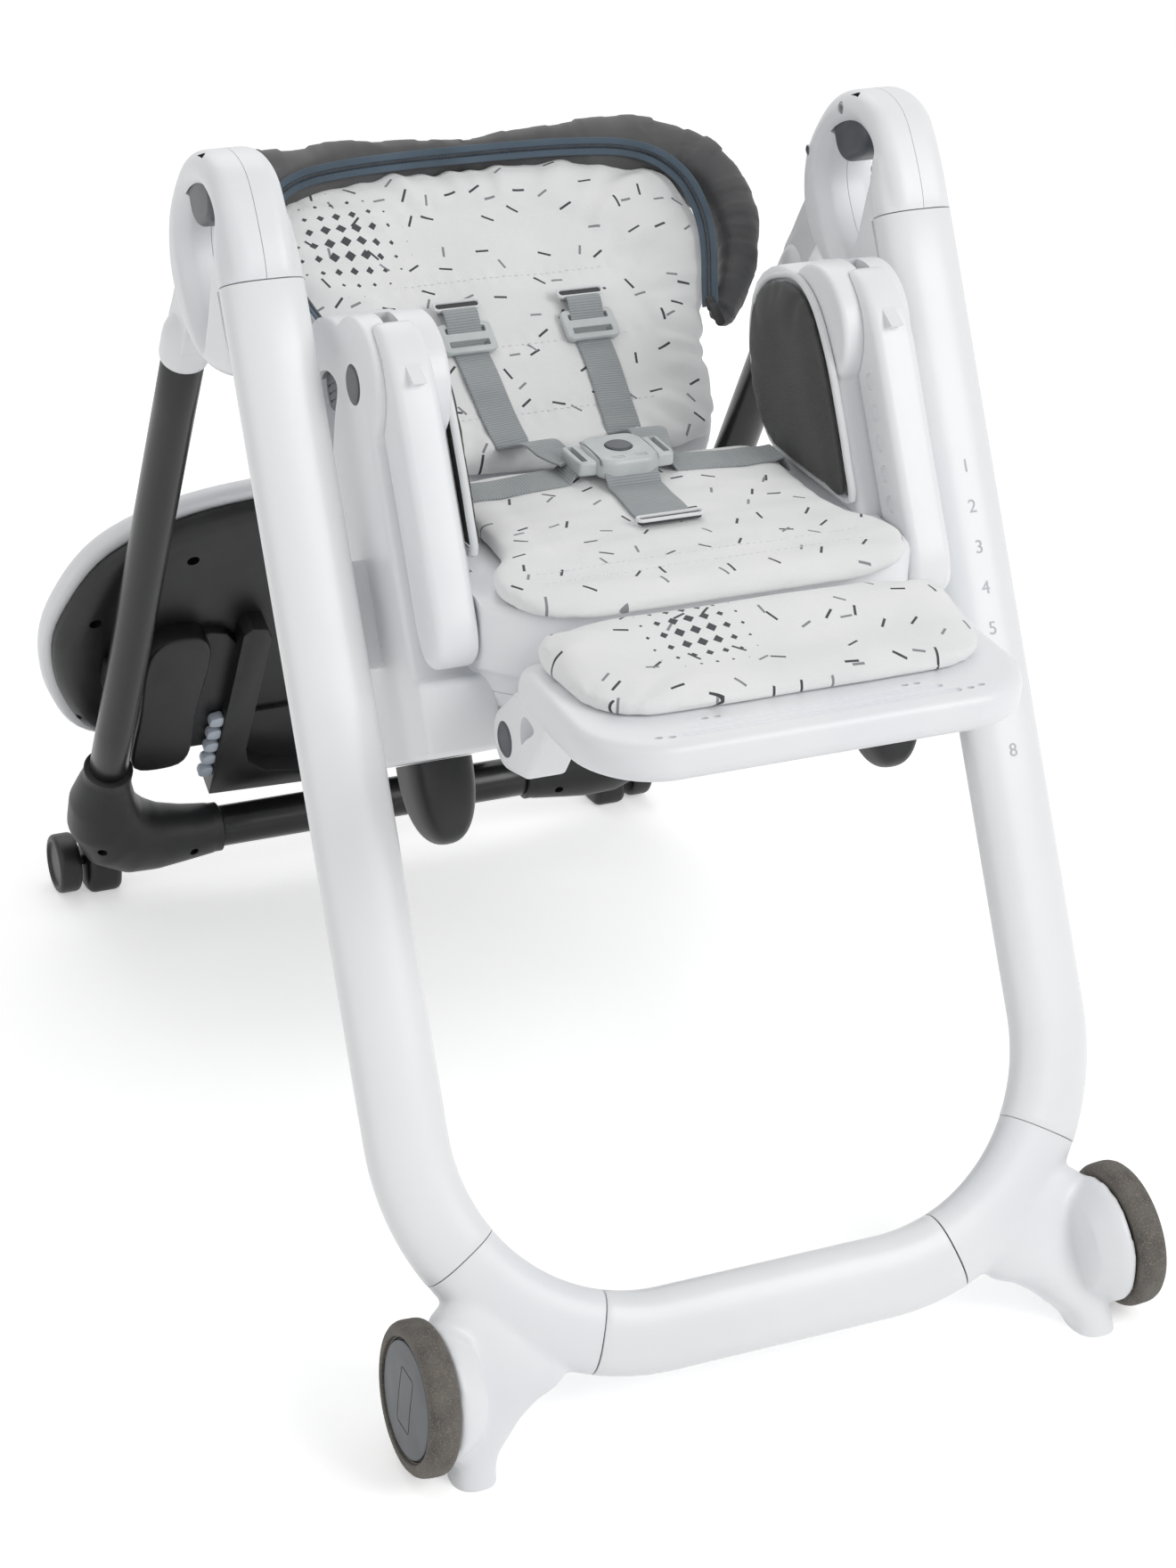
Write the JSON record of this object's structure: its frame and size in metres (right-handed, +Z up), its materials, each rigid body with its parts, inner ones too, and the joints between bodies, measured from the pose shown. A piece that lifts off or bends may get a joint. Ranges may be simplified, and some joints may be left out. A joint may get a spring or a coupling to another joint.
{
  "type": "baby high chair",
  "caption": "Folding, reclining baby high chair with leaning front legs ending in loop handles, a height-adjustable padded seat, legrest, harness, castors and a tray stored behind.",
  "frame": {"origin": "middle of the bounding box's base, on the floor", "axes": "+Z up, +Y towards the back of the chair, +X to the side; the sitter faces -Y"},
  "size_m": [0.562, 0.8608, 0.7232],
  "materials": {
    "white_plastic": "satin white plastic",
    "white_tube": "satin white powder coat",
    "black_plastic": "fine-grained black plastic",
    "black_tube": "satin black paint",
    "slate_plastic": "matte slate plastic",
    "tyre": "mottled grey elastomer",
    "steel": "plain steel pin",
    "cover": "quilted white cloth",
    "dark_cloth": "dark grey woven cloth",
    "webbing": "ribbed grey webbing",
    "clip_plastic": "smooth light grey plastic"
  },
  "bodies": {
    "front_frame": {"right_front_tube": "white_tube", "left_front_tube": "white_tube", "right_front_foot": "white_plastic", "left_front_foot": "white_plastic", "front_bar": "white_tube", "right_handle_outer": "white_plastic", "left_handle_outer": "white_plastic", "right_handle_inner": "white_plastic", "left_handle_inner": "white_plastic"},
    "fold_button_right": {"right_fold_button": "slate_plastic"},
    "fold_button_left": {"left_fold_button": "slate_plastic"},
    "front_wheel_right": {"right_front_tyre": "tyre", "right_front_hub": "slate_plastic"},
    "front_wheel_left": {"left_front_tyre": "tyre", "left_front_hub": "slate_plastic"},
    "rear_frame": {"right_rear_head": "white_plastic", "left_rear_head": "white_plastic", "right_rear_tube": "black_tube", "left_rear_tube": "black_tube", "right_rear_corner": "black_plastic", "left_rear_corner": "black_plastic", "rear_bar": "black_tube", "right_tray_clip": "black_plastic", "left_tray_clip": "black_plastic"},
    "rear_wheel_right": {"right_rear_wheel": "black_plastic"},
    "rear_wheel_left": {"left_rear_wheel": "black_plastic"},
    "tray": {"tray_plate": "white_plastic", "tray_base": "black_plastic"},
    "seat": {"seat_tub": "white_plastic", "seat_base": "white_plastic", "right_pod": "white_plastic", "left_pod": "white_plastic", "right_slider": "black_plastic", "left_slider": "black_plastic", "recline_pin": "steel", "legrest_pin": "steel", "right_arm_pad": "dark_cloth", "left_arm_pad": "dark_cloth", "seat_pad": "cover", "right_waist_strap": "webbing", "left_waist_strap": "webbing", "crotch_strap": "webbing", "buckle": "clip_plastic"},
    "armrest_right": {"right_armrest": "white_plastic"},
    "armrest_left": {"left_armrest": "white_plastic"},
    "arm_button_right": {"right_arm_button": "slate_plastic"},
    "arm_button_left": {"left_arm_button": "slate_plastic"},
    "height_lever_right": {"right_height_lever": "slate_plastic"},
    "height_lever_left": {"left_height_lever": "slate_plastic"},
    "legrest": {"legrest": "white_plastic", "legrest_pad": "cover"},
    "legrest_button_right": {"right_legrest_button": "slate_plastic"},
    "legrest_button_left": {"left_legrest_button": "slate_plastic"},
    "backrest": {"back_shell": "white_plastic", "back_pad": "cover", "hood": "dark_cloth", "right_shoulder_strap": "webbing", "left_shoulder_strap": "webbing"},
    "recline_lever": {"recline_lever": "slate_plastic"},
    "buckle_button": {"buckle_button": "slate_plastic"}
  },
  "joints": [
    {"name": "frame_fold", "type": "hinge", "parent": "front_frame", "child": "rear_frame", "pos_m": [0, 0.07175, 0.63786], "axis": [1, 0, 0], "range_deg": [-40, 0]},
    {"name": "fold_button_right_press", "type": "slide", "parent": "front_frame", "child": "fold_button_right", "axis": [0, 0.4882, 0.8728], "range_m": [0, 0.005], "stiffness_N_per_m": 600, "springref_m": -0.002},
    {"name": "fold_button_left_press", "type": "slide", "parent": "front_frame", "child": "fold_button_left", "axis": [0, 0.4882, 0.8728], "range_m": [0, 0.005], "stiffness_N_per_m": 600, "springref_m": -0.002},
    {"name": "front_wheel_right_spin", "type": "hinge", "parent": "front_frame", "child": "front_wheel_right", "pos_m": [0.25, -0.38135, 0.053], "axis": [0.9976, 0, 0.0698], "continuous": true},
    {"name": "front_wheel_left_spin", "type": "hinge", "parent": "front_frame", "child": "front_wheel_left", "pos_m": [-0.25, -0.38135, 0.053], "axis": [0.9976, 0, -0.0698], "continuous": true},
    {"name": "rear_wheel_right_spin", "type": "hinge", "parent": "rear_frame", "child": "rear_wheel_right", "pos_m": [0.25, 0.40665, 0.024], "axis": [1, 0, 0], "continuous": true},
    {"name": "rear_wheel_left_spin", "type": "hinge", "parent": "rear_frame", "child": "rear_wheel_left", "pos_m": [-0.25, 0.40665, 0.024], "axis": [1, 0, 0], "continuous": true},
    {"name": "tray_unclip", "type": "slide", "parent": "rear_frame", "child": "tray", "axis": [0, 0.8854, 0.4648], "range_m": [0, 0.06]},
    {"name": "seat_height", "type": "slide", "parent": "front_frame", "child": "seat", "axis": [0, 0.4882, 0.8728], "range_m": [-0.0819, 0.109]},
    {"name": "armrest_right_turn", "type": "hinge", "parent": "seat", "child": "armrest_right", "pos_m": [0.1635, -0.08226, 0.59911], "axis": [1, 0, 0], "range_deg": [-56, 0]},
    {"name": "armrest_left_turn", "type": "hinge", "parent": "seat", "child": "armrest_left", "pos_m": [-0.1635, -0.08226, 0.59911], "axis": [1, 0, 0], "range_deg": [-56, 0]},
    {"name": "arm_button_right_press", "type": "slide", "parent": "seat", "child": "arm_button_right", "axis": [-1, 0, 0], "range_m": [0, 0.003], "stiffness_N_per_m": 800, "springref_m": -0.001},
    {"name": "arm_button_left_press", "type": "slide", "parent": "seat", "child": "arm_button_left", "axis": [1, 0, 0], "range_m": [0, 0.003], "stiffness_N_per_m": 800, "springref_m": -0.001},
    {"name": "height_lever_right_squeeze", "type": "slide", "parent": "seat", "child": "height_lever_right", "axis": [0, 0.4882, 0.8728], "range_m": [0, 0.006], "stiffness_N_per_m": 600, "springref_m": -0.002},
    {"name": "height_lever_left_squeeze", "type": "slide", "parent": "seat", "child": "height_lever_left", "axis": [0, 0.4882, 0.8728], "range_m": [0, 0.006], "stiffness_N_per_m": 600, "springref_m": -0.002},
    {"name": "legrest_tilt", "type": "hinge", "parent": "seat", "child": "legrest", "pos_m": [0, -0.24735, 0.425], "axis": [1, 0, 0], "range_deg": [0, 75]},
    {"name": "legrest_button_right_press", "type": "slide", "parent": "legrest", "child": "legrest_button_right", "axis": [-1, 0, 0], "range_m": [0, 0.0025], "stiffness_N_per_m": 800, "springref_m": -0.001},
    {"name": "legrest_button_left_press", "type": "slide", "parent": "legrest", "child": "legrest_button_left", "axis": [1, 0, 0], "range_m": [0, 0.0025], "stiffness_N_per_m": 800, "springref_m": -0.001},
    {"name": "back_recline", "type": "hinge", "parent": "seat", "child": "backrest", "pos_m": [0, -0.01935, 0.475], "axis": [1, 0, 0], "range_deg": [0, 42]},
    {"name": "recline_lever_pull", "type": "slide", "parent": "backrest", "child": "recline_lever", "axis": [0, 0.8387, 0.5446], "range_m": [0, 0.008], "stiffness_N_per_m": 500, "springref_m": -0.003},
    {"name": "buckle_button_press", "type": "slide", "parent": "seat", "child": "buckle_button", "axis": [0, 0, -1], "range_m": [0, 0.002], "stiffness_N_per_m": 800, "springref_m": -0.001}
  ]
}
